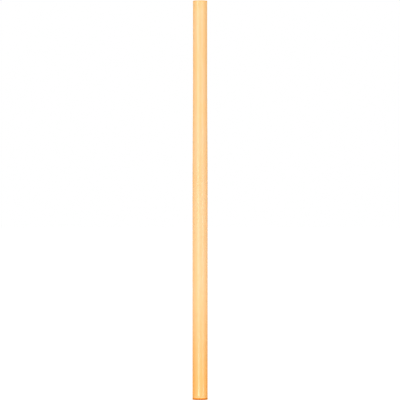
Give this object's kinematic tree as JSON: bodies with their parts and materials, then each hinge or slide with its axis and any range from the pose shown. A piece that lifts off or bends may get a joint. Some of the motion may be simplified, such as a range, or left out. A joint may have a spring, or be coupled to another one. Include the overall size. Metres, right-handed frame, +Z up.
{
  "type": "drinking straw",
  "caption": "Straight translucent orange plastic drinking straw: a thin-walled tube, open and cut square at both ends.",
  "frame": {"origin": "on the surface that the straw stands on, at the middle of its lower cut end", "axes": "+Z up along the tube, towards the end at the top of the picture; -Y towards the camera; +X to the right of the picture"},
  "size_m": [0.0074, 0.0072, 0.197],
  "materials": {
    "straw_plastic": "satin, milky translucent orange polypropylene"
  },
  "bodies": {
    "root": {"straw": "straw_plastic"}
  },
  "joints": []
}
